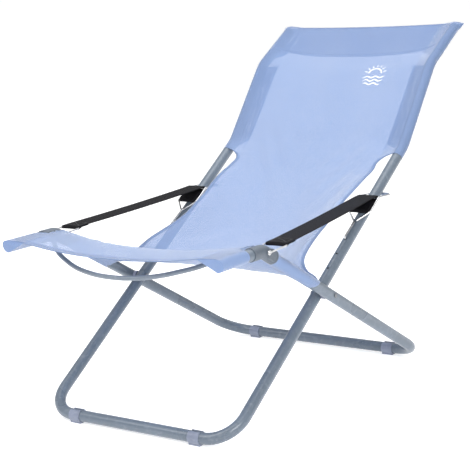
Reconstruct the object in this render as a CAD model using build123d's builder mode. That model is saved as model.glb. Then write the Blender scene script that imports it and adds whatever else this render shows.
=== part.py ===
from build123d import *
import os
from math import sin, cos, radians, degrees, asin, sqrt

# Folding low beach chair: two crossed U-shaped steel tube frames, a mesh sling,
# webbing armrests on adjustable wire bails.
# Millimetres, +Z up, +X to the sitter's left, the sitter faces -Y.
# Origin on the floor, at the centre of the chair's outline in plan.

# ---------------------------------------------------------------- driving dimensions
TUBE_R = 12.5            # outer radius of both frames' tube
TUBE_BORE_R = 11.3       # inner radius, wall 1.2
BACK_HALF = 245.0        # leg centre line of the back frame, from the middle
SEAT_HALF = 279.0        # leg centre line of the seat frame, from the middle
PIVOT_Y = -150.36         # the two rivets' common axis
PIVOT_Z = 243.6
FOOT_AXIS_Z = 15.5       # centre line of both foot bars above the floor
FRONT_REACH = 416.0      # pivot to the back frame's foot bar (at the front)
REAR_REACH = 449.0       # pivot to the seat frame's foot bar (at the rear)
BACK_KINK1 = 484.0       # pivot to the first bend of the back, along the leg
BACK_SLOPE2 = 50.8       # degrees, lumbar part of the back
BACK_LEN2 = 235.0
HEAD_SLOPE = 30.3        # degrees, head part of the back
HEAD_LEN = 155.0
KNEE_REACH = 288.0       # pivot to the seat frame's knee
TIP_LEN = 143.0          # level front part of the seat frame
FOOT_BEND_FRONT = 68.0   # centre-line bend radii
FOOT_BEND_REAR = 66.0
KINK_BEND = 90.0
KNEE_BEND = 42.0
HOLES_AT = (158.0, 112.0, 66.0)   # recline holes, from the pivot up the back leg
HOLE_R = 2.8
RIVET_R = 4.0
RIVET_HOLE_R = 4.06
CLIP_X_FRONT = 161.0     # foot clips on the front bar
CLIP_X_REAR = 196.0      # foot clips on the rear bar
CLIP_LEN = 28.0
BAIL_WIRE_R = 2.0
STIRRUP_WIRE_R = 1.6
KNUCKLE_R = 14.4
KNUCKLE_TIP = 42.0       # knuckle's reach along the level end from the knee
RIVET_HEAD_R = 5.4
RIVET_HEAD_T = 2.0
BAR_UP = 290.0           # strap's upper bar, along the back leg
BAR_LOW = 243.0          # strap's lower bar
BAR_OFF = 17.6           # bars in front of the leg's centre line
STRAP_W = 52.0
STRAP_T = 1.8
SLEEVE_AT = 337.0        # plastic sleeve behind the back leg
SLEEVE_OFF = -16.7
SLEEVE_HALF = 20.5
KNUCKLE_LEG = 40.0       # knuckle's reach down the leg from the knee

# ---------------------------------------------------------------- side-view geometry
RISE = PIVOT_Z - FOOT_AXIS_Z
BACK_SLOPE = degrees(asin(RISE / FRONT_REACH))
SEAT_SLOPE = degrees(asin(RISE / REAR_REACH))


def polar(origin, angle, length):
    """A point in the side view (y, z), from another one."""
    return (origin[0] + length * cos(radians(angle)), origin[1] + length * sin(radians(angle)))


PIVOT = (PIVOT_Y, PIVOT_Z)
FRONT_FOOT = polar(PIVOT, 180 + BACK_SLOPE, FRONT_REACH)
KINK1 = polar(PIVOT, BACK_SLOPE, BACK_KINK1)
KINK2 = polar(KINK1, BACK_SLOPE2, BACK_LEN2)
TOP = polar(KINK2, HEAD_SLOPE, HEAD_LEN)
REAR_FOOT = polar(PIVOT, -SEAT_SLOPE, REAR_REACH)
KNEE = polar(PIVOT, 180 - SEAT_SLOPE, KNEE_REACH)
TIP = (KNEE[0] - TIP_LEN, KNEE[1])


def on_back(along, off):
    """Side-view point beside the back leg: along it from the pivot, off its front face side."""
    a = radians(BACK_SLOPE)
    return (PIVOT_Y + along * cos(a) - off * sin(a), PIVOT_Z + along * sin(a) + off * cos(a))


def on_seat(along, off):
    """Side-view point beside the seat leg: along it from the pivot to the knee, off its upper side."""
    a = radians(180 - SEAT_SLOPE)
    return (PIVOT_Y + along * cos(a) + off * sin(a), PIVOT_Z + along * sin(a) - off * cos(a))


def at(x, yz):
    return (x, yz[0], yz[1])


BOW_R = 5.0              # front bow's rod
BOW_END = (KNEE[0] - 52.0, KNEE[1])
BOW_X = SEAT_HALF - 8.0

print("back slope %.2f  seat slope %.2f" % (BACK_SLOPE, SEAT_SLOPE))
print("top", TOP, "tip", TIP, "front foot", FRONT_FOOT, "rear foot", REAR_FOOT)

os.makedirs("parts", exist_ok=True)
SIDES = (("left", 1), ("right", -1))

# ---------------------------------------------------------------- back frame tube
# One bent tube: free top ends, head bend, lumbar bend, straight legs, front foot bar.
with BuildPart() as back_frame_tube:
    with BuildLine() as back_path:
        FilletPolyline(
            at(BACK_HALF, TOP), at(BACK_HALF, KINK2), at(BACK_HALF, KINK1), at(BACK_HALF, FRONT_FOOT),
            at(-BACK_HALF, FRONT_FOOT), at(-BACK_HALF, KINK1), at(-BACK_HALF, KINK2), at(-BACK_HALF, TOP),
            radius=[KINK_BEND, KINK_BEND, FOOT_BEND_FRONT, FOOT_BEND_FRONT, KINK_BEND, KINK_BEND])
    with BuildSketch(Plane(origin=back_path.line @ 0, z_dir=back_path.line % 0)) as back_section:
        Circle(TUBE_R)
        Circle(TUBE_BORE_R, mode=Mode.SUBTRACT)
    sweep(path=back_path.line)
    # rivet holes across both legs
    with BuildSketch(Plane(origin=(-BACK_HALF - 20, PIVOT_Y, PIVOT_Z), x_dir=(0, 1, 0), z_dir=(1, 0, 0))):
        Circle(RIVET_HOLE_R)
    extrude(amount=2 * BACK_HALF + 40, mode=Mode.SUBTRACT)
    # recline holes through the front wall of each leg
    for _x in (-BACK_HALF, BACK_HALF):
        for _r in HOLES_AT:
            with BuildSketch(Plane(origin=at(_x, on_back(_r, 0)), x_dir=(1, 0, 0),
                                   z_dir=(0, -sin(radians(BACK_SLOPE)), cos(radians(BACK_SLOPE))))):
                Circle(HOLE_R)
            extrude(amount=20, mode=Mode.SUBTRACT)
back_frame_tube.part.label = "back_frame_tube"
export_step(back_frame_tube.part, "parts/back_frame_tube.step")
print("back tube volume", back_frame_tube.part.volume, "expected", sum(e.length for e in back_path.line.edges()) * 3.14159265 * (TUBE_R**2 - TUBE_BORE_R**2))

# ---------------------------------------------------------------- seat frame tube
# One bent tube: level front ends, knees, straight legs, rear foot bar.
with BuildPart() as seat_frame_tube:
    with BuildLine() as seat_path:
        FilletPolyline(
            at(SEAT_HALF, TIP), at(SEAT_HALF, KNEE), at(SEAT_HALF, REAR_FOOT),
            at(-SEAT_HALF, REAR_FOOT), at(-SEAT_HALF, KNEE), at(-SEAT_HALF, TIP),
            radius=[KNEE_BEND, FOOT_BEND_REAR, FOOT_BEND_REAR, KNEE_BEND])
    with BuildSketch(Plane(origin=seat_path.line @ 0, z_dir=seat_path.line % 0)) as seat_section:
        Circle(TUBE_R)
        Circle(TUBE_BORE_R, mode=Mode.SUBTRACT)
    sweep(path=seat_path.line)
    with BuildSketch(Plane(origin=(-SEAT_HALF - 20, PIVOT_Y, PIVOT_Z), x_dir=(0, 1, 0), z_dir=(1, 0, 0))):
        Circle(RIVET_HOLE_R)
    extrude(amount=2 * SEAT_HALF + 40, mode=Mode.SUBTRACT)
    # holes in the inner walls of the level ends, where the front bow is let in and welded
    for _t in (1, -1):
        with BuildSketch(Plane(origin=(_t * SEAT_HALF, BOW_END[0], BOW_END[1]), x_dir=(0, 1, 0), z_dir=(-_t, 0, 0))):
            Circle(BOW_R + 0.06)
        extrude(amount=20, mode=Mode.SUBTRACT)
seat_frame_tube.part.label = "seat_frame_tube"
export_step(seat_frame_tube.part, "parts/seat_frame_tube.step")
print("seat tube volume", seat_frame_tube.part.volume, "expected", sum(e.length for e in seat_path.line.edges()) * 3.14159265 * (TUBE_R**2 - TUBE_BORE_R**2))


# ---------------------------------------------------------------- foot clips
# Moulded C-shaped clip around the foot bar, with a flat pad on the floor.
def foot_clip(x_mid, foot, name):
    with BuildPart() as clip:
        with BuildSketch(Plane(origin=(x_mid - CLIP_LEN / 2, foot[0], foot[1]), x_dir=(0, 1, 0), z_dir=(1, 0, 0))):
            Circle(TUBE_R + 2.3)
            with Locations((0, -9.0)):
                Rectangle(19.0, 13.0)
            Circle(TUBE_R + 0.06, mode=Mode.SUBTRACT)
            with Locations((0, 13.0)):
                Rectangle(11.0, 12.0, mode=Mode.SUBTRACT)
        extrude(amount=CLIP_LEN)
        fillet(clip.edges().filter_by(Axis.X).group_by(Axis.Z)[0], radius=1.6)
        chamfer(clip.edges().filter_by(GeomType.CIRCLE).filter_by(lambda e: e.radius > TUBE_R + 1), length=0.6)
    clip.part.label = name
    export_step(clip.part, "parts/%s.step" % name)
    return clip


for _side, _s in SIDES:
    foot_clip(_s * CLIP_X_FRONT, FRONT_FOOT, "front_foot_clip_" + _side)
    foot_clip(_s * CLIP_X_REAR, REAR_FOOT, "rear_foot_clip_" + _side)


# ---------------------------------------------------------------- end plugs
# Push-in plastic plugs in the four open tube ends: ribbed stem and domed head.
def end_plug(x, yz, angle, name, press=0.0):
    d = (0, cos(radians(angle)), sin(radians(angle)))
    base = Plane(origin=at(x, yz), x_dir=(1, 0, 0), z_dir=d)
    with BuildPart() as plug:
        with BuildSketch(base.offset(-16.0)):
            Circle(TUBE_BORE_R - 0.06)
            Circle(TUBE_BORE_R - 2.2, mode=Mode.SUBTRACT)
        extrude(amount=16.05)
        with BuildSketch(base.offset(0.05)):
            Circle(TUBE_R + 0.2)
        extrude(amount=4.0)
        fillet(plug.edges().filter_by(GeomType.CIRCLE).filter_by(lambda e: e.radius > TUBE_R).sort_by(Axis(at(x, yz), d))[-1:], radius=3.2)
    plug.part.label = name
    export_step(plug.part, "parts/%s.step" % name)
    return plug


for _side, _s in SIDES:
    end_plug(_s * BACK_HALF, TOP, HEAD_SLOPE, "back_end_plug_" + _side)
    end_plug(_s * SEAT_HALF, TIP, 180.0, "seat_end_plug_" + _side)


# ---------------------------------------------------------------- pivots
# Steel rivet through both legs, with a nylon spacer between them.
for _side, _s in SIDES:
    _x0 = BACK_HALF - TUBE_R          # inner face of the back leg
    _x1 = SEAT_HALF + TUBE_R          # outer face of the seat leg
    with BuildPart() as rivet:
        with BuildSketch(Plane(origin=(_s * (_x0 - 0.25 - RIVET_HEAD_T), PIVOT_Y, PIVOT_Z), x_dir=(0, 1, 0), z_dir=(_s, 0, 0))):
            Circle(RIVET_R)
        extrude(amount=_x1 - _x0 + 0.5 + 2 * RIVET_HEAD_T)
        with BuildSketch(Plane(origin=(_s * (_x0 - 0.25), PIVOT_Y, PIVOT_Z), x_dir=(0, 1, 0), z_dir=(-_s, 0, 0))):
            Circle(RIVET_HEAD_R)
        extrude(amount=RIVET_HEAD_T)
        with BuildSketch(Plane(origin=(_s * (_x1 + 0.25), PIVOT_Y, PIVOT_Z), x_dir=(0, 1, 0), z_dir=(_s, 0, 0))):
            Circle(RIVET_HEAD_R)
        extrude(amount=RIVET_HEAD_T)
        fillet(rivet.edges().filter_by(GeomType.CIRCLE).group_by(Axis.X)[0] + rivet.edges().filter_by(GeomType.CIRCLE).group_by(Axis.X)[-1], radius=1.2)
    rivet.part.label = "pivot_rivet_" + _side
    export_step(rivet.part, "parts/pivot_rivet_%s.step" % _side)

    _gap = SEAT_HALF - BACK_HALF - 2 * TUBE_R
    with BuildPart() as spacer:
        with BuildSketch(Plane(origin=(_s * (BACK_HALF + TUBE_R + 0.3), PIVOT_Y, PIVOT_Z), x_dir=(0, 1, 0), z_dir=(_s, 0, 0))):
            Circle(10.0)
            Circle(RIVET_R + 0.06, mode=Mode.SUBTRACT)
        extrude(amount=_gap - 0.6)
        chamfer(spacer.edges().filter_by(GeomType.CIRCLE).filter_by(lambda e: e.radius > 9), length=0.8)
    spacer.part.label = "pivot_spacer_" + _side
    export_step(spacer.part, "parts/pivot_spacer_%s.step" % _side)


# ---------------------------------------------------------------- knuckles
# Moulded elbow sleeve over each knee of the seat frame, with an outer pad and
# the two holes in which the strap's wire stirrup swings.
for _side, _s in SIDES:
    _x = _s * SEAT_HALF
    with BuildPart() as knuckle:
        with BuildLine() as knuckle_path:
            FilletPolyline(at(_x, (KNEE[0] - KNUCKLE_TIP, KNEE[1])), at(_x, KNEE), at(_x, on_seat(KNEE_REACH - KNUCKLE_LEG, 0)),
                           radius=[KNEE_BEND])
        with BuildSketch(Plane(origin=knuckle_path.line @ 0, z_dir=knuckle_path.line % 0)):
            Circle(KNUCKLE_R)
        sweep(path=knuckle_path.line)
        # rounded outer pad along the lower half, with a shallow recess in its face
        _pad = Plane(origin=at(_x, on_seat(KNEE_REACH - 20.5, 0)),
                     x_dir=(0, cos(radians(180 - SEAT_SLOPE)), sin(radians(180 - SEAT_SLOPE))), z_dir=(_s, 0, 0))
        with BuildSketch(_pad):
            SlotOverall(37.0, 22.0)
        extrude(amount=KNUCKLE_R + 1.6)
        with BuildSketch(_pad.offset(KNUCKLE_R + 0.9)):
            SlotOverall(30.0, 15.0)
        extrude(amount=2.0, mode=Mode.SUBTRACT)
        # raised eye round the stirrup's pivot, both sides
        for _t in (1, -1):
            with BuildSketch(Plane(origin=(_x, KNEE[0], KNEE[1] - 2.0), x_dir=(0, 1, 0), z_dir=(_t, 0, 0))):
                Circle(4.4)
            extrude(amount=KNUCKLE_R + (1.6 if _t == _s else 0.6))
        with BuildSketch(Plane(origin=knuckle_path.line @ 0, z_dir=knuckle_path.line % 0)):
            Circle(TUBE_R + 0.06)
        sweep(path=knuckle_path.line, mode=Mode.SUBTRACT)
        # stirrup pivot holes, both sides
        for _t in (1, -1):
            with BuildSketch(Plane(origin=(_x + _t * (TUBE_R + 0.9), KNEE[0], KNEE[1] - 2.0), x_dir=(0, 1, 0), z_dir=(_t, 0, 0))):
                Circle(STIRRUP_WIRE_R + 0.06)
            extrude(amount=10.0, mode=Mode.SUBTRACT)
    knuckle.part.label = "knuckle_" + _side
    export_step(knuckle.part, "parts/knuckle_%s.step" % _side)

    # wire stirrup: two legs astride the knuckle, joined by the bar that carries the strap
    _piv = (KNEE[0], KNEE[1] - 2.0)
    _bar = (KNEE[0] + 52.0, KNEE[1] + 4.0)
    _xin = _x - _s * (KNUCKLE_R + 2.1)
    _xout = _x + _s * (KNUCKLE_R + 3.9)
    with BuildPart() as stirrup:
        with BuildLine() as stirrup_path:
            FilletPolyline(at(_x - _s * (TUBE_R + 1.2), _piv), at(_xin, _piv),
                           at(_x - _s * 27.5, _bar), at(_x + _s * 27.5, _bar),
                           at(_xout, _piv), at(_x + _s * (TUBE_R + 1.2), _piv),
                           radius=[1.8, 4.0, 4.0, 1.8])
        with BuildSketch(Plane(origin=stirrup_path.line @ 0, z_dir=stirrup_path.line % 0)):
            Circle(STIRRUP_WIRE_R)
        sweep(path=stirrup_path.line)
        # eye formed in the wire round the outer pivot
        with BuildSketch(Plane(origin=(_xout - _s * 0.7, _piv[0], _piv[1]), x_dir=(0, 1, 0), z_dir=(_s, 0, 0))):
            Circle(4.9)
            Circle(2.9, mode=Mode.SUBTRACT)
        extrude(amount=1.6)
    stirrup.part.label = "strap_stirrup_" + _side
    export_step(stirrup.part, "parts/strap_stirrup_%s.step" % _side)


# ---------------------------------------------------------------- front bow
# Slim painted rod that keeps the seat frame's front ends apart, bowed forward and down
# so that it stays clear of the sitter's legs and of the sling.
with BuildPart() as seat_bow:
    with BuildLine() as bow_path:
        _half = [(x, BOW_END[0] + y, BOW_END[1] + z) for x, y, z in
                 ((BOW_X, 0, 0), (238, 0, 0), (186, -39, -21.5), (112, -71, -39), (40, -85, -46.8))]
        FilletPolyline(*_half, *[(-x, y, z) for x, y, z in reversed(_half)],
                       radius=[40.0, 190.0, 260.0, 300.0, 300.0, 260.0, 190.0, 40.0])
    with BuildSketch(Plane(origin=bow_path.line @ 0, z_dir=bow_path.line % 0)):
        Circle(BOW_R)
    sweep(path=bow_path.line)
seat_bow.part.label = "seat_bow"
export_step(seat_bow.part, "parts/seat_bow.step")

# ---------------------------------------------------------------- recline bails
# Bent steel wire: hook in a hole of the leg, tail up the leg, a fork that widens to the
# strap's two bars, and a loop round the back of the leg through a plastic sleeve.
for _side, _s in SIDES:
    _x = _s * BACK_HALF
    _w = 28.0

    def leg(dx, along, off):
        return at(_x + _s * dx, on_back(along, off))

    with BuildPart() as bail:
        with BuildLine() as bail_path:
            FilletPolyline(
                leg(0, HOLES_AT[0], TUBE_R + 0.45), leg(0, HOLES_AT[0], TUBE_R + 5.1), leg(0, HOLES_AT[0] + 52.0, TUBE_R + 2.4),
                leg(-_w, BAR_LOW, BAR_OFF), leg(-_w, BAR_UP, BAR_OFF), leg(-25.0, SLEEVE_AT, SLEEVE_OFF),
                leg(25.0, SLEEVE_AT, SLEEVE_OFF), leg(_w, BAR_UP, BAR_OFF), leg(_w, BAR_LOW, BAR_OFF),
                leg(4.4, HOLES_AT[0] + 56.0, TUBE_R + 2.6),
                radius=[2.2, 5.0, 5.0, 5.0, 3.5, 3.5, 5.0, 5.0])
        with BuildSketch(Plane(origin=bail_path.line @ 0, z_dir=bail_path.line % 0)):
            Circle(BAIL_WIRE_R)
        sweep(path=bail_path.line)
    bail.part.label = "bail_wire_" + _side
    export_step(bail.part, "parts/bail_wire_%s.step" % _side)

    # the two cross bars that carry the strap, welded between the fork's legs
    with BuildPart() as bars:
        for _r in (BAR_LOW + 3.0, BAR_UP - 3.0):
            with BuildSketch(Plane(origin=leg(-_w + 2.05, _r, BAR_OFF), x_dir=(0, 1, 0), z_dir=(_s, 0, 0))):
                Circle(BAIL_WIRE_R - 0.1)
            extrude(amount=2 * _w - 4.1)
    bars.part.label = "bail_bars_" + _side
    export_step(bars.part, "parts/bail_bars_%s.step" % _side)

    # sleeve on the wire behind the leg
    with BuildPart() as sleeve:
        with BuildSketch(Plane(origin=leg(-SLEEVE_HALF, SLEEVE_AT, SLEEVE_OFF), x_dir=(0, 1, 0), z_dir=(_s, 0, 0))):
            Circle(3.8)
            Circle(BAIL_WIRE_R + 0.06, mode=Mode.SUBTRACT)
        extrude(amount=2 * SLEEVE_HALF)
        chamfer(sleeve.edges().filter_by(GeomType.CIRCLE).filter_by(lambda e: e.radius > 3), length=0.6)
    sleeve.part.label = "bail_sleeve_" + _side
    export_step(sleeve.part, "parts/bail_sleeve_%s.step" % _side)

# ---------------------------------------------------------------- armrest straps
# Flat webbing from the stirrup's bar to the bail's upper bar, with its end folded
# down over the front of the fork to the lower bar.
BAR_FRONT = (KNEE[0] + 52.0, KNEE[1] + 4.0)
STRAP_FRONT = (BAR_FRONT[0] - 2.4, BAR_FRONT[1] + STIRRUP_WIRE_R + 0.4 + STRAP_T / 2)
STRAP_REAR = on_back(BAR_UP - 3.0, BAR_OFF + BAIL_WIRE_R + 0.6 + 2 * STRAP_T)
STRAP_SAG = 2.0
for _side, _s in SIDES:
    with BuildPart() as strap:
        # three sections: it narrows towards the middle of the chair as it runs back
        for _k in (0.0, 0.5, 1.0):
            _c = (_s * (SEAT_HALF + (BACK_HALF - SEAT_HALF) * _k),
                  STRAP_FRONT[0] + (STRAP_REAR[0] - STRAP_FRONT[0]) * _k,
                  STRAP_FRONT[1] + (STRAP_REAR[1] - STRAP_FRONT[1]) * _k - STRAP_SAG * 4 * _k * (1 - _k))
            with BuildSketch(Plane(origin=_c, x_dir=(1, 0, 0), z_dir=(0, 1, 0))):
                Rectangle(STRAP_W, STRAP_T)
        loft(ruled=True)
    strap.part.label = "armrest_strap_" + _side
    export_step(strap.part, "parts/armrest_strap_%s.step" % _side)

    # the strap's end, sewn round the fork's two bars
    with BuildPart() as strap_end:
        with BuildSketch(Plane(origin=(_s * BACK_HALF, 0, 0), x_dir=(0, 1, 0), z_dir=(1, 0, 0))):
            with BuildLine():
                Polyline(on_back(BAR_UP + 0.5, BAR_OFF + BAIL_WIRE_R + 0.25), on_back(BAR_LOW, BAR_OFF + BAIL_WIRE_R + 0.25),
                         on_back(BAR_LOW, BAR_OFF + BAIL_WIRE_R + 0.25 + STRAP_T),
                         on_back(BAR_UP + 0.5, BAR_OFF + BAIL_WIRE_R + 0.25 + STRAP_T), close=True)
            make_face()
        extrude(amount=STRAP_W / 2, both=True)
    strap_end.part.label = "strap_end_" + _side
    export_step(strap_end.part, "parts/strap_end_%s.step" % _side)

# ---------------------------------------------------------------- sling
SLING_T = 2.0
POCKET_R = 15.2
POCKET_BORE_R = 12.85


def leg_pocket(points, radii):
    """A fabric tube around a leg, along a path; made inside the calling block."""
    with BuildLine() as pocket_path:
        if len(points) > 2:
            FilletPolyline(*points, radius=radii)
        else:
            Line(*points)
    with BuildSketch(Plane(origin=pocket_path.line @ 0, z_dir=pocket_path.line % 0)) as pocket_section:
        Circle(POCKET_R)
        Circle(POCKET_BORE_R, mode=Mode.SUBTRACT)
    sweep(sections=pocket_section.sketch, path=pocket_path.line)


def band(points, half_width):
    """A cloth panel of constant thickness, its side view given by its upper line."""
    with BuildSketch(Plane(origin=(-half_width, 0, 0), x_dir=(0, 1, 0), z_dir=(1, 0, 0))) as band_side:
        with BuildLine():
            _low = [(p[0], p[1] - SLING_T) for p in points]
            Polyline(*points, *reversed(_low), close=True)
        make_face()
    extrude(to_extrude=band_side.sketch, amount=2 * half_width)


# back panel: side pockets from the first bend up, cloth between the legs, narrower below the pockets
with BuildPart() as sling_back:
    for _t in (1, -1):
        leg_pocket([at(_t * BACK_HALF, on_back(BACK_KINK1 - 18.0, 0)), at(_t * BACK_HALF, KINK1), at(_t * BACK_HALF, KINK2),
                    at(_t * BACK_HALF, polar(TOP, HEAD_SLOPE, -1.0))], [KINK_BEND, KINK_BEND])
    _p1 = polar(KINK1, (BACK_SLOPE + BACK_SLOPE2) / 2 - 90, 8.0)
    _p1b = polar(polar(KINK1, BACK_SLOPE2, 40.0), BACK_SLOPE2 - 90, 8.0)
    _p2 = polar(KINK2, (BACK_SLOPE2 + HEAD_SLOPE) / 2 - 90, 8.0)
    _p3 = polar(TOP, HEAD_SLOPE - 90, 8.0)
    band([on_back(345.0, -12.0), on_back(420.0, -11.0), _p1, _p1b], 210.0)
    band([_p1b, _p2, polar(_p3, HEAD_SLOPE, 4.0)], BACK_HALF - 10.8)
sling_back.part.label = "sling_back"
export_step(sling_back.part, "parts/sling_back.step")

# seat panel: front pockets on the level tips, cloth between them
with BuildPart() as sling_seat:
    for _t in (1, -1):
        leg_pocket([at(_t * SEAT_HALF, (TIP[0] + 1.0, TIP[1])), at(_t * SEAT_HALF, (KNEE[0] - 60.0, KNEE[1]))], None)
    _z = KNEE[1] + 7.0
    band([(TIP[0] - 3.0, _z - 2.0), (TIP[0] + 60.0, _z), (KNEE[0] - 40.0, _z + 1.0), (KNEE[0] + 12.0, _z - 3.0)], SEAT_HALF - 12.6)
    # cut back beside the knuckles
    for _t in (1, -1):
        with BuildSketch(Plane.XY.offset(300.0)):
            with Locations((_t * (SEAT_HALF + 2.0), KNEE[0] - 20.0)):
                Rectangle(2 * (KNUCKLE_R + 13.0), 79.9)
        extrude(amount=200.0, mode=Mode.SUBTRACT)
sling_seat.part.label = "sling_seat"
export_step(sling_seat.part, "parts/sling_seat.step")

# lower side pockets of the sling, on the seat frame's legs behind the knuckles
for _side, _s in SIDES:
    with BuildPart() as leg_sleeve:
        leg_pocket([at(_s * SEAT_HALF, on_seat(KNEE_REACH - KNUCKLE_LEG - 2.0, 0)), at(_s * SEAT_HALF, on_seat(56.0, 0))], None)
    leg_sleeve.part.label = "sling_pocket_" + _side
    export_step(leg_sleeve.part, "parts/sling_pocket_%s.step" % _side)

# hanging middle of the sling, between the seat and back panels
with BuildPart() as sling_middle:
    _q = [(KNEE[0] + 14.0, KNEE[1] - 7.0), (KNEE[0] + 48.0, KNEE[1] - 32.0), (KNEE[0] + 100.0, KNEE[1] - 57.0),
          (PIVOT_Y - 60.0, PIVOT_Z + 55.0), (PIVOT_Y + 10.0, PIVOT_Z + 44.0), (PIVOT_Y + 90.0, PIVOT_Z + 50.0),
          (PIVOT_Y + 150.0, PIVOT_Z + 67.0), (PIVOT_Y + 203.0, PIVOT_Z + 97.0), (PIVOT_Y + 247.0, PIVOT_Z + 138.0),
          on_back(298.0, -11.0)]
    band(_q, 186.0)
sling_middle.part.label = "sling_middle"
export_step(sling_middle.part, "parts/sling_middle.step")
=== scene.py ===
import bpy, bmesh, math
import numpy as np
from mathutils import Vector, Matrix


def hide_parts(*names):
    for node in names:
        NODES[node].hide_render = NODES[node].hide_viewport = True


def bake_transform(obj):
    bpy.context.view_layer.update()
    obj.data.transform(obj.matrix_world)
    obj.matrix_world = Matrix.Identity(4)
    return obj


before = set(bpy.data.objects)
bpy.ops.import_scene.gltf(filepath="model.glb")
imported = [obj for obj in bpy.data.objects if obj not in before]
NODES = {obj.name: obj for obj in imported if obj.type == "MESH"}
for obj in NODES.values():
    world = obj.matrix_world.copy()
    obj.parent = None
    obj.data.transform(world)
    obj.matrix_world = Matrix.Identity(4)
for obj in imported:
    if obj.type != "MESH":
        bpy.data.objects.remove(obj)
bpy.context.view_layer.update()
SCENE = bpy.context.scene

# ------------------------------------------------------------------ dimensions, metres, as in part.py
TUBE_R = 0.0125
BACK_HALF, SEAT_HALF = 0.245, 0.279
PY, PZ = -0.15036, 0.2436
FOOT_Z = 0.0155
BACK_SLOPE = math.asin((PZ - FOOT_Z) / 0.416)
SEAT_SLOPE = math.asin((PZ - FOOT_Z) / 0.449)
SLOPE2, HEAD = math.radians(50.8), math.radians(30.3)


def pol(o, ang, r):
    return np.array([o[0] + r * math.cos(ang), o[1] + r * math.sin(ang)])


PIV = np.array([PY, PZ])
KINK1 = pol(PIV, BACK_SLOPE, 0.484)
KINK2 = pol(KINK1, SLOPE2, 0.235)
TOP = pol(KINK2, HEAD, 0.155)
KNEE = pol(PIV, math.pi - SEAT_SLOPE, 0.288)
TIP = KNEE + np.array([-0.143, 0.0])


def fillet_path(pts, radii, step=0.004):
    """A polyline in the side view with its corners rounded, sampled; returns points and arc lengths."""
    pts = [np.array(p, float) for p in pts]
    out = [pts[0]]
    for i in range(1, len(pts) - 1):
        a, b, c = pts[i - 1], pts[i], pts[i + 1]
        u, v = (a - b) / np.linalg.norm(a - b), (c - b) / np.linalg.norm(c - b)
        turn = math.pi - math.acos(np.clip(u @ v, -1, 1))
        t = radii[i - 1] * math.tan(turn / 2)
        p0, p1 = b + u * t, b + v * t
        mid = (u + v) / np.linalg.norm(u + v)
        centre = b + mid * (radii[i - 1] / math.cos(turn / 2))
        a0, a1 = p0 - centre, p1 - centre
        n = max(4, int(radii[i - 1] * turn / step))
        for k in range(n + 1):
            w = k / n
            q = a0 * math.sin((1 - w) * turn) / math.sin(turn) + a1 * math.sin(w * turn) / math.sin(turn)
            out.append(centre + q)
    out.append(pts[-1])
    out = np.array(out)
    s = np.concatenate([[0], np.cumsum(np.linalg.norm(np.diff(out, axis=0), axis=1))])
    return out, s


def sample(path, s):
    """Point and unit tangent on a path (points, arc lengths) at arc length s; runs on straight past its ends."""
    p, a = path
    if s <= a[0]:
        d = (p[1] - p[0]) / np.linalg.norm(p[1] - p[0])
        return p[0] + d * (s - a[0]), d
    if s >= a[-1]:
        d = (p[-1] - p[-2]) / np.linalg.norm(p[-1] - p[-2])
        return p[-1] + d * (s - a[-1]), d
    q = np.array([np.interp(s, a, p[:, 0]), np.interp(s, a, p[:, 1])])
    e = 0.003
    f = np.array([np.interp(s + e, a, p[:, 0]), np.interp(s + e, a, p[:, 1])])
    g = np.array([np.interp(s - e, a, p[:, 0]), np.interp(s - e, a, p[:, 1])])
    return q, (f - g) / np.linalg.norm(f - g)


BACK_AXIS = fillet_path([PIV, KINK1, KINK2, TOP], [0.090, 0.090])
LEG_AXIS = fillet_path([PIV, KNEE, TIP], [0.042])
LEN_BACK = BACK_AXIS[1][-1]
A_KINK1 = 0.484 - 0.0
A_KINK2 = 0.719


def front_of(d):
    """Unit normal on the sitter's side of a path that runs upwards with tangent d."""
    return np.array([-d[1], d[0]]) if d[0] > 0 else np.array([d[1], -d[0]])


def pchip(xs, ys, x):
    xs, ys = np.asarray(xs, float), np.asarray(ys, float)
    h, dl = np.diff(xs), np.diff(ys) / np.diff(xs)
    m = np.zeros(len(xs))
    m[0], m[-1] = dl[0], dl[-1]
    for i in range(1, len(xs) - 1):
        if dl[i - 1] * dl[i] > 0:
            w1, w2 = 2 * h[i] + h[i - 1], h[i] + 2 * h[i - 1]
            m[i] = (w1 + w2) / (w1 / dl[i - 1] + w2 / dl[i])
    x = np.clip(x, xs[0], xs[-1])
    i = int(np.clip(np.searchsorted(xs, x) - 1, 0, len(xs) - 2))
    t = (x - xs[i]) / h[i]
    return ((2 * t**3 - 3 * t**2 + 1) * ys[i] + (t**3 - 2 * t**2 + t) * h[i] * m[i]
            + (-2 * t**3 + 3 * t**2) * ys[i + 1] + (t**3 - t**2) * h[i] * m[i + 1])


def smooth(xs, ys, x):
    """Catmull-Rom through (xs, ys), not limited to monotone runs."""
    xs, ys = np.asarray(xs, float), np.asarray(ys, float)
    x = float(np.clip(x, xs[0], xs[-1]))
    i = int(np.clip(np.searchsorted(xs, x) - 1, 0, len(xs) - 2))
    def slope(k):
        if k == 0:
            return (ys[1] - ys[0]) / (xs[1] - xs[0])
        if k == len(xs) - 1:
            return (ys[-1] - ys[-2]) / (xs[-1] - xs[-2])
        a, b = (ys[k] - ys[k - 1]) / (xs[k] - xs[k - 1]), (ys[k + 1] - ys[k]) / (xs[k + 1] - xs[k])
        w = (xs[k] - xs[k - 1]) / (xs[k + 1] - xs[k - 1])
        return a * (1 - w) + b * w
    h = xs[i + 1] - xs[i]
    t = (x - xs[i]) / h
    return ((2 * t**3 - 3 * t**2 + 1) * ys[i] + (t**3 - 2 * t**2 + t) * h * slope(i)
            + (-2 * t**3 + 3 * t**2) * ys[i + 1] + (t**3 - t**2) * h * slope(i + 1))


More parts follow.
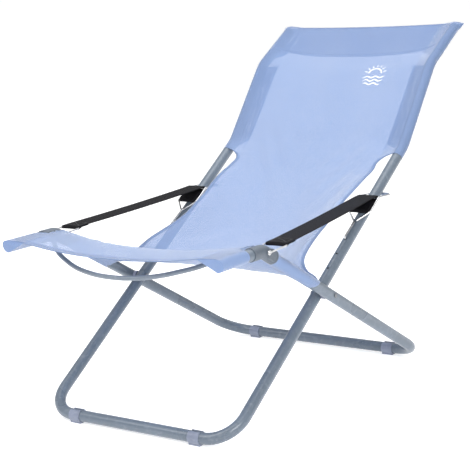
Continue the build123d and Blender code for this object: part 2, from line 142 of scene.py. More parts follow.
# ------------------------------------------------------------------ sling: stations along its length
# g is the length along the cloth from the front hem. C: centre line (y, z). M: inner seam line (x, y, z).
# E: where the cloth meets the tube's sitter side, or its free hem.
WRAP_R = 0.0134
G_NOTCH0, G_NOTCH1, G_LEG1, G_BACK0, G_KINK2, G_END = 0.090, 0.188, 0.379, 0.8444, 1.124, 1.300
A_BACK0, A_TOP = 0.446, 0.891
R_LEG0, R_LEG1 = 0.246, 0.057


def on_leg(r, off):
    """Side-view point at distance r from the pivot along the seat leg, off on the sitter's side."""
    q, d = sample(LEG_AXIS, r)
    return q + front_of(d) * off


def on_back(a, off):
    q, d = sample(BACK_AXIS, a)
    return q + front_of(d) * off


C_TAB = [  # g, y, z
    (0.000, -0.5475, 0.3835), (0.045, -0.5030, 0.3850), (0.090, -0.4580, 0.3855), (0.130, -0.4180, 0.3805),
    (0.172, -0.3765, 0.3660), (0.215, -0.3340, 0.3475), (0.260, -0.2900, 0.3280), (0.305, -0.2470, 0.3110),
    (0.345, -0.2090, 0.2980), (0.379, -0.1770, 0.2900), (0.440, -0.1180, 0.2845), (0.500, -0.0600, 0.2905),
    (0.560, -0.0030, 0.3070), (0.620, 0.0480, 0.3350), (0.680, 0.0970, 0.3760), (0.740, 0.1430, 0.4165),
    (0.800, 0.1870, 0.4560)]
for a, n in ((A_BACK0, 0.001), (0.490, 0.002), (0.530, -0.001), (0.570, -0.006), (0.610, -0.010), (0.650, -0.013), (0.690, -0.0155),
             (0.719, -0.0165), (0.750, -0.015), (0.790, -0.011), (0.830, -0.007), (0.870, -0.003), (A_TOP, -0.002)):
    g = G_BACK0 + (a - A_BACK0) * (G_END - G_BACK0) / (A_TOP - A_BACK0)
    C_TAB.append((g, *on_back(a, n)))
M_TAB = [  # g, x, y, z
    (0.000, 0.2300, -0.5478, 0.4010), (0.045, 0.2300, -0.5030, 0.4010), (0.090, 0.2290, -0.4580, 0.4005),
    (0.130, 0.2290, -0.4180, 0.3975), (0.172, 0.2290, -0.3740, 0.3850), (0.215, 0.2330, -0.3320, 0.3530),
    (0.260, 0.2350, -0.2900, 0.3250), (0.305, 0.2360, -0.2480, 0.3050), (0.345, 0.2370, -0.2120, 0.2925),
    (0.379, 0.2330, -0.1850, 0.2880), (0.440, 0.2140, -0.1370, 0.3160), (0.500, 0.2000, -0.0880, 0.3450),
    (0.560, 0.1880, -0.0230, 0.3720), (0.620, 0.1850, 0.0310, 0.3960), (0.680, 0.1900, 0.0850, 0.4250),
    (0.740, 0.1950, 0.1350, 0.4450), (0.800, 0.1980, 0.1850, 0.4640)]
for a, n in ((A_BACK0, 0.002), (0.490, 0.002), (0.560, -0.001), (0.650, -0.003), (0.719, -0.004), (0.790, -0.003), (0.870, -0.001), (A_TOP, 0.0)):
    g = G_BACK0 + (a - A_BACK0) * (G_END - G_BACK0) / (A_TOP - A_BACK0)
    M_TAB.append((g, 0.200, *on_back(a, n)))
E_FREE = [  # g, x, y, z: from the seat leg's pocket to the back's
    (0.379, 0.2770, *on_leg(R_LEG1, WRAP_R)), (0.3875, 0.2700, -0.1895, 0.2903), (0.3996, 0.2580, -0.1844, 0.2951),
    (0.410, 0.2470, -0.1841, 0.3001), (0.421, 0.2380, -0.1810, 0.3088), (0.435, 0.2300, -0.1725, 0.3182),
    (0.4488, 0.2250, -0.1604, 0.3262), (0.4657, 0.2210, -0.1429, 0.3345), (0.4957, 0.2140, -0.1104, 0.3455),
    (0.5388, 0.2060, -0.0650, 0.3595), (0.5762, 0.2020, -0.0240, 0.3735), (0.615, 0.2000, 0.0150, 0.3935),
    (0.665, 0.2010, 0.0570, 0.4125), (0.710, 0.2050, 0.0950, 0.4310),
    (0.752, 0.2070, 0.1340, 0.4480), (0.796, 0.2065, *on_back(0.399, 0.0033)), (0.8195, 0.2045, *on_back(0.422, 0.0022)),
    (0.832, 0.2115, *on_back(0.434, 0.0035)), (0.840, 0.2270, *on_back(0.4435, 0.0085)), (G_BACK0, 0.2430, *on_back(A_BACK0, WRAP_R))]


def edge_of(g):
    """Edge of the cloth's upper layer at g, and in a pocket zone the axis path and its arc length there."""
    if g <= G_NOTCH0:
        r = R_LEG_TIP - g
        return np.array([SEAT_HALF - 0.002, *on_leg(r, WRAP_R)]), ("leg", r)
    if g < G_NOTCH1:
        w = (g - G_NOTCH0) / (G_NOTCH1 - G_NOTCH0)
        r = (R_LEG_TIP - G_NOTCH0) * (1 - w) + R_LEG0 * w
        dip = min(1.0, 7.0 * w, 7.0 * (1 - w))
        dip = dip * dip * (3 - 2 * dip)
        cut = dip * (0.0016 * math.sin(g * 395.0) + 0.0008 * math.sin(g * 910.0 + 1.0))   # unevenly folded edge
        q = on_leg(r, WRAP_R - 0.0030 * dip + 0.6 * cut)
        return np.array([SEAT_HALF - 0.002 - 0.0200 * dip + cut, *q]), None
    if g <= G_LEG1:
        w = (g - G_NOTCH1) / (G_LEG1 - G_NOTCH1)
        r = R_LEG0 * (1 - w) + R_LEG1 * w
        return np.array([SEAT_HALF - 0.002, *on_leg(r, WRAP_R)]), ("leg", r)
    if g < G_BACK0:
        t = [e[0] for e in E_FREE]
        return np.array([smooth(t, [e[k] for e in E_FREE], g) for k in (1, 2, 3)]), None
    a = A_BACK0 + (g - G_BACK0) * (A_TOP - A_BACK0) / (G_END - G_BACK0)
    half, out = hood(a)
    return np.array([BACK_HALF - 0.002, *on_back(a, half)]), ("back", a)


R_LEG_TIP = LEG_AXIS[1][-1] + 0.0066   # arc length to the front hem, from the pivot
HOOD_A = LEN_BACK - 0.004


def hood(a):
    """Half thickness and outward reach of the cloth about the back leg's axis: closes to a flat corner past the tube's end."""
    if a <= HOOD_A:
        return WRAP_R, WRAP_R
    w = min(1.0, (a - HOOD_A) / (A_TOP - HOOD_A))
    return 0.0012 + (WRAP_R - 0.0012) * math.sqrt(max(0.0, 1 - w * w)), WRAP_R + 0.008 * w


def top_drop(x):
    """The top hem sags a little between the tubes: how far the cloth is shortened at x."""
    return 0.0025 * (1 - min(1.0, abs(x) / 0.235) ** 2)


def col(g, t):
    """Point on the upper layer at length g and across t from 0 (middle) to 1 (edge)."""
    gg = g
    C = np.array([smooth([c[0] for c in C_TAB], [c[k] for c in C_TAB], gg) for k in (1, 2)])
    M = np.array([smooth([m[0] for m in M_TAB], [m[k] for m in M_TAB], gg) for k in (1, 2, 3)])
    E, _ = edge_of(gg)
    if G_LEG1 < g < G_BACK0:  # free hem: M stays just inside E
        k = min(1.0, (g - G_LEG1) / 0.03, (G_BACK0 - g) / 0.03)
        inner = np.array([E[0] - 0.024, *(E[1:] * 0.93 + np.array([C[0], C[1]]) * 0.07)])
        M = M * (1 - k) + inner * k
    return C, M, E


T_SEAM = 0.80
NU_IN, NU_OUT = 30, 6


def row(g):
    """One row of the upper layer for x >= 0: from the middle to the edge."""
    C, M, E = col(g, 0)
    pts = []
    for i in range(NU_IN + 1):
        u = i / NU_IN
        x = M[0] * u
        w = u ** 2.3
        pts.append(np.array([x, C[0] + (M[1] - C[0]) * w, C[1] + (M[2] - C[1]) * w]))
    # leave the seam with the slope the inner cloth arrives with, meet the edge softly
    s0 = (pts[-1] - pts[-2])
    s0 = s0 / np.linalg.norm(s0) * np.linalg.norm(E - M)
    s1 = (E - M) * 1.0
    for i in range(1, NU_OUT + 1):
        t = i / NU_OUT
        h = ((2 * t**3 - 3 * t**2 + 1) * M + (t**3 - 2 * t**2 + t) * s0 * 0.7
             + (-2 * t**3 + 3 * t**2) * E + (t**3 - t**2) * s1)
        pts.append(h)
    pts = np.array(pts)
    if g > G_KINK2:  # pull the middle of the top hem down a little
        w = (g - G_KINK2) / (G_END - G_KINK2)
        d = np.array([math.cos(HEAD), math.sin(HEAD)])
        for p in pts:
            p[1:] -= d * top_drop(p[0]) * w * w
    return pts


GS = np.unique(np.round(np.concatenate([
    np.arange(0, G_NOTCH0, 0.0075), np.arange(G_NOTCH0, G_NOTCH1, 0.0041), np.arange(G_NOTCH1, G_LEG1, 0.0075),
    np.arange(G_LEG1, 0.41, 0.0035), np.arange(0.41, 0.80, 0.0075), np.arange(0.80, G_BACK0, 0.0024),
    np.arange(G_BACK0, 1.27, 0.0075), np.arange(1.27, G_END, 0.004),
    [G_NOTCH0, G_NOTCH1, G_LEG1, G_BACK0, G_END, 0.60]]), 5))
GS = np.array([g for i, g in enumerate(GS) if i == 0 or g - GS[i - 1] > 0.0006])
ROWS = np.array([row(g) for g in GS])
SPLIT = int(np.argmin(abs(GS - 0.60)))
# arc length across, for the cloth's own coordinates
U_ARC = np.array([np.concatenate([[0], np.cumsum(np.linalg.norm(np.diff(r, axis=0), axis=1))]) for r in ROWS])


def grid_normals(P):
    a = np.gradient(P, axis=0)
    b = np.gradient(P, axis=1)
    n = np.cross(b, a)
    return n / np.maximum(np.linalg.norm(n, axis=2, keepdims=True), 1e-9)


FULL = np.concatenate([ROWS[:, :0:-1] * np.array([-1, 1, 1]), ROWS], axis=1)
FULL_U = np.concatenate([-U_ARC[:, :0:-1], U_ARC], axis=1)
FULL_N = grid_normals(FULL)
if FULL_N[len(FULL_N) // 2, FULL.shape[1] // 2, 2] < 0:
    FULL_N = -FULL_N


def slack(g, x):
    """Soft drag lines in the stretched cloth, in metres off its fair shape."""
    def hump(v, c, w):
        return math.exp(-((v - c) / w) ** 2)
    s_ = 1 if x > 0 else -1
    a = abs(x)
    d = 0.0013 * hump(g, 0.47, 0.10) * hump(a, 0.15, 0.09) * math.sin(2 * math.pi * (g * 11.0 + a * 15.0 + 0.12 * s_ + 0.25 * math.sin(6 * g + 9 * a)))
    d += 0.0011 * hump(g, 0.80, 0.11) * hump(a, 0.14, 0.10) * math.sin(2 * math.pi * (g * 10.0 - a * 16.0 + 0.2 * s_ + 0.2 * math.sin(7 * g)))
    d += 0.0009 * hump(g, 0.62, 0.16) * math.sin(2 * math.pi * (x * 8.5 + g * 2.1 + 0.15 * math.sin(9 * g)))
    d += 0.0008 * hump(g, 0.19, 0.07) * hump(a, 0.17, 0.06) * math.sin(2 * math.pi * (a * 22.0 - g * 13.0 + 0.3 * s_))
    d += 0.0006 * hump(g, 1.02, 0.16) * math.sin(2 * math.pi * (x * 6.0 - g * 3.0 + 0.1 * math.sin(5 * g + 20 * x)))
    return 1.9 * d



for _i, _g in enumerate(GS):
    for _j in range(FULL.shape[1]):
        _u = abs(_j - (FULL.shape[1] - 1) // 2) / NU_IN
        _f = min(1.0, max(0.0, (0.93 - _u) / 0.25)) * min(1.0, _g / 0.05, max(0.0, (G_END - _g) / 0.05))
        if _f > 0:
            FULL[_i, _j] += FULL_N[_i, _j] * slack(_g, FULL[_i, _j, 0]) * _f
FULL_N = grid_normals(FULL)
if FULL_N[len(FULL_N) // 2, FULL.shape[1] // 2, 2] < 0:
    FULL_N = -FULL_N
MID = FULL.shape[1] // 2


# ------------------------------------------------------------------ mesh helpers
def new_mesh(name, verts, faces, uvs=None, smooth_faces=True):
    me = bpy.data.meshes.new(name)
    me.from_pydata([tuple(v) for v in verts], [], faces)
    me.update()
    if uvs is not None:
        layer = me.uv_layers.new(name="UVMap")
        flat = np.array([uvs[l.vertex_index] for l in me.loops], np.float32).ravel()
        layer.data.foreach_set("uv", flat)
    me.polygons.foreach_set("use_smooth", [smooth_faces] * len(me.polygons))
    o = bpy.data.objects.new(name, me)
    SCENE.collection.objects.link(o)
    return o


class Build:
    """Collects grids into one mesh."""
    def __init__(self):
        self.v, self.f, self.uv = [], [], []

    def grid(self, P, UV, flip=False, close=False):
        r, c = P.shape[:2]
        k = len(self.v)
        self.v += [tuple(p) for p in P.reshape(-1, 3)]
        self.uv += [tuple(q) for q in UV.reshape(-1, 2)]
        for i in range(r - 1):
            for j in range(c if close else c - 1):
                j2 = (j + 1) % c
                q = (k + i * c + j, k + i * c + j2, k + (i + 1) * c + j2, k + (i + 1) * c + j)
                self.f.append(q[::-1] if flip else q)
        return k

    def face(self, idx):
        self.f.append(tuple(idx))

    def make(self, name, weld=None):
        o = new_mesh(name, self.v, self.f, self.uv)
        if weld:
            bm = bmesh.new()
            bm.from_mesh(o.data)
            bmesh.ops.remove_doubles(bm, verts=bm.verts, dist=weld)
            bm.to_mesh(o.data)
            bm.free()
        return o


def path_tube(b, pts, r, sides=8, uv0=0.0, caps=True):
    """A round bar along points, into Build b."""
    pts = np.asarray(pts, float)
    n = len(pts)
    t = np.gradient(pts, axis=0)
    t /= np.maximum(np.linalg.norm(t, axis=1, keepdims=True), 1e-12)
    ref = np.array([0.0, 0.0, 1.0]) if abs(t[0, 2]) < 0.9 else np.array([1.0, 0.0, 0.0])
    u = np.cross(t[0], ref); u /= np.linalg.norm(u)
    s = np.concatenate([[0], np.cumsum(np.linalg.norm(np.diff(pts, axis=0), axis=1))])
    P, UV = np.zeros((n, sides, 3)), np.zeros((n, sides, 2))
    for i in range(n):
        u = u - t[i] * (u @ t[i]); u /= np.linalg.norm(u)
        w = np.cross(t[i], u)
        rr = r[i] if hasattr(r, "__len__") else r
        for j in range(sides):
            a = 2 * math.pi * j / sides
            P[i, j] = pts[i] + rr * (math.cos(a) * u + math.sin(a) * w)
            UV[i, j] = (uv0 + a * 0.01, s[i])
    k = b.grid(P, UV, close=True)
    if caps:
        b.face([k + j for j in range(sides)][::-1])
        b.face([k + (n - 1) * sides + j for j in range(sides)])


def dash_line(b, pts, normals, length=0.0034, gap=0.0016, r=0.00042, lift=0.0006):
    """Sewing thread laid along a line on the cloth: one short bar per stitch."""
    pts = np.asarray(pts, float)
    s = np.concatenate([[0], np.cumsum(np.linalg.norm(np.diff(pts, axis=0), axis=1))])
    def at(q, arr):
        return np.array([np.interp(q, s, arr[:, k]) for k in range(3)])
    normals = np.asarray(normals, float)
    q = gap
    while q + length < s[-1]:
        a, m, c = at(q, pts), at(q + length / 2, pts), at(q + length, pts)
        n = at(q + length / 2, normals); n /= np.linalg.norm(n)
        path_tube(b, [a - n * 0.0002, a * .75 + m * .25 + n * lift, m + n * lift * 1.15, c * .75 + m * .25 + n * lift, c - n * 0.0002], r, sides=5)
        q += length + gap


# ------------------------------------------------------------------ material helpers
class Mat:
    def __init__(self, name):
        self.m = bpy.data.materials.new(name)
        self.m.use_nodes = True
        self.t = self.m.node_tree
        self.t.nodes.clear()
        self.out = self.add("ShaderNodeOutputMaterial")

    def add(self, kind, **kw):
        n = self.t.nodes.new(kind)
        for k, v in kw.items():
            if k.startswith("i_"):
                n.inputs[k[2:].replace("_", " ")].default_value = v
            else:
                setattr(n, k, v)
        return n

    def link(self, a, b):
        self.t.links.new(a, b)
        return b

    def math(self, op, a, b=None, c=None, clamp=False):
        n = self.add("ShaderNodeMath", operation=op, use_clamp=clamp)
        for i, v in enumerate((a, b, c)):
            if v is None:
                continue
            if isinstance(v, (int, float)):
                n.inputs[i].default_value = v
            else:
                self.link(v, n.inputs[i])
        return n.outputs[0]

    def mix(self, fac, a, b, kind="RGBA"):
        n = self.add("ShaderNodeMix", data_type=kind)
        i, o = (6, 2) if kind == "RGBA" else (2, 0)
        if isinstance(fac, (int, float)):
            n.inputs[0].default_value = fac
        else:
            self.link(fac, n.inputs[0])
        for k, v in ((i, a), (i + 1, b)):
            if isinstance(v, (tuple, list)):
                n.inputs[k].default_value = (*v, 1.0) if len(v) == 3 else v
            elif isinstance(v, (int, float)):
                n.inputs[k].default_value = v
            else:
                self.link(v, n.inputs[k])
        return n.outputs[o]

    def coords(self, kind="Object"):
        return self.add("ShaderNodeTexCoord").outputs[kind]

    def noise(self, scale, detail=3.0, rough=0.5, vec=None, stretch=None, out="Fac"):
        n = self.add("ShaderNodeTexNoise")
        n.inputs["Scale"].default_value = scale
        n.inputs["Detail"].default_value = detail
        n.inputs["Roughness"].default_value = rough
        v = vec if vec is not None else self.coords()
        if stretch:
            mp = self.add("ShaderNodeMapping")
            mp.inputs["Scale"].default_value = stretch
            self.link(v, mp.inputs["Vector"])
            v = mp.outputs[0]
        self.link(v, n.inputs["Vector"])
        return n.outputs[out]

    def ramp(self, fac, lo, hi, a=0.0, b=1.0):
        n = self.add("ShaderNodeMapRange")
        n.inputs["From Min"].default_value = lo
        n.inputs["From Max"].default_value = hi
        n.inputs["To Min"].default_value = a
        n.inputs["To Max"].default_value = b
        self.link(fac, n.inputs["Value"])
        return n.outputs[0]

    def bump(self, height, strength=0.3, distance=0.001):
        n = self.add("ShaderNodeBump")
        n.inputs["Strength"].default_value = strength
        n.inputs["Distance"].default_value = distance
        self.link(height, n.inputs["Height"])
        return n.outputs[0]

    def principled(self, color=None, rough=0.5, metallic=0.0, normal=None, **kw):
        n = self.add("ShaderNodeBsdfPrincipled")
        if color is not None:
            if isinstance(color, (tuple, list)):
                n.inputs["Base Color"].default_value = (*color, 1)
            else:
                self.link(color, n.inputs["Base Color"])
        if isinstance(rough, (int, float)):
            n.inputs["Roughness"].default_value = rough
        else:
            self.link(rough, n.inputs["Roughness"])
        n.inputs["Metallic"].default_value = metallic
        if normal is not None:
            self.link(normal, n.inputs["Normal"])
        for k, v in kw.items():
            n.inputs[k.replace("_", " ")].default_value = v
        return n

    def done(self, shader):
        self.link(shader.outputs[0] if hasattr(shader, "outputs") else shader, self.out.inputs["Surface"])
        return self.m


def mesh_cloth(name, tint, layer_shift=0.0, holes=0.645, pitch=1.0, turn=0.0, thin=0.20):
    """Coated mesh cloth: round yarns at 1.7 mm, over and under each other, with open holes between."""
    m = Mat(name)
    mp = m.add("ShaderNodeMapping")
    mp.inputs["Rotation"].default_value = (0, 0, turn)
    mp.inputs["Scale"].default_value = (1 / pitch, 1 / pitch, 1)
    m.link(m.coords("UV"), mp.inputs["Vector"])
    uv = mp.outputs[0]
    sep = m.add("ShaderNodeSeparateXYZ")
    m.link(uv, sep.inputs[0])
    wob = m.noise(14.0, 2.0, vec=uv)
    u = m.math("ADD", m.math("MULTIPLY", sep.outputs[0], 1 / 0.00172), m.math("MULTIPLY", wob, 0.35 + layer_shift))
    v = m.math("ADD", m.math("MULTIPLY", sep.outputs[1], 1 / 0.00188), m.math("MULTIPLY", wob, 0.25))
    cu = m.math("COSINE", m.math("MULTIPLY", u, 2 * math.pi))
    cv = m.math("COSINE", m.math("MULTIPLY", v, 2 * math.pi))
    warp = m.math("MULTIPLY_ADD", cu, 0.5, 0.5)     # 1 on a warp yarn's line
    weft = m.math("MULTIPLY_ADD", cv, 0.5, 0.5)
    # over and under: the yarn on top swaps from crossing to crossing
    over = m.math("MULTIPLY", m.math("COSINE", m.math("MULTIPLY", u, math.pi)), m.math("COSINE", m.math("MULTIPLY", v, math.pi)))
    top = m.math("MAXIMUM", m.math("MULTIPLY_ADD", over, 0.35, warp), m.math("MULTIPLY_ADD", over, -0.35, weft))
    hole = m.math("MULTIPLY", m.math("SUBTRACT", 1.0, warp), m.math("SUBTRACT", 1.0, weft))
    hole = m.ramp(hole, holes, holes + 0.10)
    soft = m.noise(5.0, 3.0, vec=m.coords(), stretch=(1.5, 0.55, 0.55))
    fine = m.noise(260.0, 2.0, vec=m.coords())
    dark = (tint[0] * 0.90, tint[1] * 0.95, tint[2] * 0.99)
    lite = (min(1.0, tint[0] * 1.07), min(1.0, tint[1] * 1.04), min(1.0, tint[2] * 1.01))
    colr = m.mix(m.ramp(soft, 0.35, 0.65), dark, lite)
    colr = m.mix(m.ramp(fine, 0.3, 0.7, 0.0, 0.25), colr, lite)
    # painted shade: the yarn is coloured 20% darker where it dips under the crossing yarn, keyed to the weave's height
    yarn = m.mix(m.ramp(top, 0.35, 0.95), tuple(c * 0.80 for c in tint), colr)
    nrm = m.bump(top, 0.55, 0.0005)
    p = m.principled(yarn, m.ramp(fine, 0.2, 0.8, 0.42, 0.56), normal=nrm, Specular_IOR_Level=0.35, Sheen_Weight=0.85, Sheen_Roughness=0.28)
    tr = m.add("ShaderNodeBsdfTranslucent")
    m.link(yarn, tr.inputs["Color"])
    a = m.add("ShaderNodeMixShader")
    a.inputs[0].default_value = thin
    m.link(p.outputs[0], a.inputs[1]); m.link(tr.outputs[0], a.inputs[2])
    t = m.add("ShaderNodeBsdfTransparent")
    b = m.add("ShaderNodeMixShader")
    m.link(hole, b.inputs[0]); m.link(a.outputs[0], b.inputs[1]); m.link(t.outputs[0], b.inputs[2])
    return m.done(b)


def enamel(name, tint, rough=0.27):
    """Glossy stoved enamel on steel tube: faint orange peel, small colour drift, dust and fine scuffs."""
    m = Mat(name)
    co = m.coords()
    drift = m.noise(7.0, 3.0, vec=co)
    dust = m.ramp(m.noise(90.0, 6.0, 0.62, vec=co), 0.50, 0.72)
    scuff = m.ramp(m.noise(55.0, 8.0, 0.7, vec=co, stretch=(1.0, 1.0, 6.0)), 0.63, 0.70)
    low = m.add("ShaderNodeSeparateXYZ")
    m.link(co, low.inputs[0])
    near_floor = m.ramp(low.outputs[2], 0.0, 0.05, 1.0, 0.0)
    colr = m.mix(m.ramp(drift, 0.3, 0.7), tuple(c * 0.90 for c in tint), tuple(c * 1.10 for c in tint))
    colr = m.mix(m.math("MULTIPLY", dust, 0.10), colr, (0.55, 0.56, 0.57))
    colr = m.mix(m.math("MULTIPLY", scuff, m.math("MULTIPLY_ADD", near_floor, 0.35, 0.06)), colr, (0.52, 0.53, 0.54))
    rg = m.math("ADD", m.ramp(drift, 0.2, 0.8, rough - 0.03, rough + 0.05), m.math("MULTIPLY", scuff, 0.16))
    peel = m.bump(m.noise(420.0, 2.0, vec=co), 0.045, 0.0005)
    return m.done(m.principled(colr, rg, normal=peel, Coat_Weight=0.12, Coat_Roughness=0.12, Specular_IOR_Level=0.42))


def moulded(name, tint, rough=0.46, grain=900.0):
    """Moulded plastic: fine spark-eroded grain, slight flow marks, scattered dusty patches."""
    m = Mat(name)
    co = m.coords()
    flow = m.noise(18.0, 3.0, vec=co)
    g = m.noise(grain, 2.0, vec=co)
    colr = m.mix(m.ramp(flow, 0.3, 0.7), tuple(c * 0.88 for c in tint), tuple(c * 1.12 for c in tint))
    colr = m.mix(m.ramp(m.noise(160.0, 5.0, vec=co), 0.55, 0.75, 0.0, 0.12), colr, (0.60, 0.60, 0.60))
    return m.done(m.principled(colr, m.ramp(flow, 0.2, 0.8, rough - 0.05, rough + 0.08), normal=m.bump(g, 0.16, 0.0004)))


def zinc(name, tint=(0.66, 0.66, 0.67), rough=0.24, stretch=(1, 1, 1)):
    """Bright zinc-plated steel: faint drawing lines and cloudy plating."""
    m = Mat(name)
    co = m.coords()
    cloud = m.noise(60.0, 4.0, vec=co)
    lines = m.noise(700.0, 2.0, vec=co, stretch=stretch)
    colr = m.mix(m.ramp(cloud, 0.3, 0.7), tuple(c * 0.82 for c in tint), tuple(min(1, c * 1.12) for c in tint))
    return m.done(m.principled(colr, m.ramp(cloud, 0.25, 0.75, rough - 0.05, rough + 0.12), metallic=1.0, normal=m.bump(lines, 0.10, 0.0003)))


def webbing_mat(name, tint):
    """Heavy black webbing: ribs along the strap and the weft's steps across them, with painted shade in the grooves and
    painted highlight on the rib tops, a little lint.
    """
    m = Mat(name)
    sep = m.add("ShaderNodeSeparateXYZ")
    m.link(m.coords("UV"), sep.inputs[0])
    u = m.math("MULTIPLY", sep.outputs[0], 1 / 0.0021)
    v = m.math("MULTIPLY", sep.outputs[1], 1 / 0.0015)
    rib = m.math("ABSOLUTE", m.math("SINE", m.math("MULTIPLY", u, math.pi)))
    half = m.math("FLOOR", u)
    step = m.math("ABSOLUTE", m.math("SINE", m.math("MULTIPLY", m.math("MULTIPLY_ADD", half, 0.5, v), math.pi)))
    h = m.math("MULTIPLY", m.math("POWER", rib, 0.6), m.math("MULTIPLY_ADD", step, 0.6, 0.4))
    lint = m.ramp(m.noise(350.0, 6.0, 0.7, vec=m.coords()), 0.60, 0.72)
    fade = m.noise(12.0, 3.0, vec=m.coords())
    # painted shade and painted highlight: darker in the grooves between ribs, lighter on the rib tops, keyed to the
    # bump's height
    colr = m.mix(m.ramp(h, 0.1, 0.9), tuple(c * 0.45 for c in tint), tuple(c * 1.4 for c in tint))
    colr = m.mix(m.ramp(fade, 0.35, 0.7, 0.0, 0.25), colr, tuple(c * 1.6 + 0.001 for c in tint))
    colr = m.mix(m.math("MULTIPLY", lint, 0.03), colr, (0.16, 0.16, 0.18))
    return m.done(m.principled(colr, 0.66, normal=m.bump(h, 0.7, 0.0006), Specular_IOR_Level=0.16))


def thread_mat(name, tint):
    m = Mat(name)
    tw = m.add("ShaderNodeTexWave", wave_type="BANDS", bands_direction="DIAGONAL")
    tw.inputs["Scale"].default_value = 900.0
    m.link(m.coords(), tw.inputs["Vector"])
    # painted shade: the thread is coloured darker in the twist's grooves, on the same bands as its bump
    colr = m.mix(m.ramp(tw.outputs["Fac"], 0.2, 0.8), tuple(c * 0.75 for c in tint), tint)
    return m.done(m.principled(colr, 0.5, normal=m.bump(tw.outputs["Fac"], 0.3, 0.0002), Sheen_Weight=0.3))


BLUE = (0.223, 0.316, 0.540)
M_CLOTH = mesh_cloth("mesh_cloth", BLUE)
M_CLOTH2 = mesh_cloth("mesh_cloth_under", BLUE, layer_shift=0.3, holes=0.62)
# painted light: the pockets round the tubes get a 16% lighter copy of the same cloth's blue
M_POCKET = mesh_cloth("mesh_pocket", tuple(c * 1.16 for c in BLUE), layer_shift=0.3, holes=0.82)
M_HEAD = mesh_cloth("mesh_cloth_head", BLUE, layer_shift=0.2, holes=0.61, pitch=1.43, turn=0.11)
M_BIND = mesh_cloth("mesh_hem", tuple(c * 1.02 for c in BLUE), layer_shift=0.5, holes=0.80)
M_THREAD = thread_mat("thread_blue", (0.36, 0.50, 0.80))
M_BTHREAD = thread_mat("thread_black", (0.03, 0.03, 0.034))
M_TUBE = enamel("tube_enamel", (0.122, 0.152, 0.192))
M_BOW = enamel("bow_enamel", (0.150, 0.180, 0.222), 0.30)
M_CLIP = moulded("clip_plastic", (0.190, 0.215, 0.290), 0.42)
M_PLUG = moulded("plug_plastic", (0.190, 0.215, 0.290), 0.44)
M_KNUCKLE = moulded("knuckle_plastic", (0.090, 0.112, 0.142), 0.45)
M_SPACER = moulded("spacer_plastic", (0.20, 0.22, 0.30), 0.45)
M_SLEEVE = moulded("sleeve_plastic", (0.20, 0.24, 0.33), 0.42)
M_RIVET = zinc("rivet_zinc", (0.20, 0.21, 0.23), rough=0.32)
M_WIRE = zinc("wire_zinc", (0.72, 0.72, 0.73), 0.20)
M_WEB = webbing_mat("webbing_black", (0.0045, 0.0043, 0.0065))
M_INK = moulded("mark_print", (0.90, 0.91, 0.93), 0.5, 500.0)


def paint(name, mat):
    o = NODES[name]
    o.data.materials.clear()
    o.data.materials.append(mat)


for n in NODES:
    mat = (M_TUBE if "frame_tube" in n else M_BOW if n == "seat_bow" else M_CLIP if "foot_clip" in n else M_PLUG if "end_plug" in n
           else M_RIVET if "rivet" in n else M_SPACER if "spacer" in n else M_KNUCKLE if "knuckle" in n
           else M_WIRE if ("stirrup" in n or "bail_wire" in n or "bail_bars" in n) else M_SLEEVE if "sleeve" in n
           else M_WEB if ("strap" in n) else M_CLOTH)
    paint(n, mat)

# ------------------------------------------------------------------ sling
SIDES = (1, -1)


def wrap(g, ext, n_arc=12, n_flat=6):
    """The cloth's return around the tube at g: from the tube's sitter side, around its outside, to the seam underneath.
    ext is how far along that way it reaches, in metres. For x >= 0."""
    E, zone = edge_of(g)
    kind, s = zone
    axis = LEG_AXIS if kind == "leg" else BACK_AXIS
    xh = SEAT_HALF if kind == "leg" else BACK_HALF
    q, d = sample(axis, s)
    n = front_of(d)
    half, out = hood(s) if kind == "back" else (WRAP_R, WRAP_R)
    pts = [E]
    for i in range(1, n_arc + 1):
        a = math.pi / 2 - math.pi * i / n_arc
        pts.append(np.array([xh + out * math.cos(a) - 0.002 * (1 - math.cos(a)), *(q + n * half * math.sin(a))]))
    M = col(g, 0)[1].copy()
    M[1:] -= n * 0.0011
    if kind == "back" and g > G_KINK2:
        w = (g - G_KINK2) / (G_END - G_KINK2)
        M[1:] -= np.array([math.cos(HEAD), math.sin(HEAD)]) * top_drop(M[0]) * w * w
    last = pts[-1]
    for i in range(1, n_flat + 1):
        t = i / n_flat
        pts.append(last * (1 - t) + M * t)
    pts = np.array(pts)
    L = np.concatenate([[0], np.cumsum(np.linalg.norm(np.diff(pts, axis=0), axis=1))])
    e = min(ext, L[-1])
    f = L / L[-1] * e
    return np.array([[np.interp(x, L, pts[:, k]) for k in range(3)] for x in f]), f


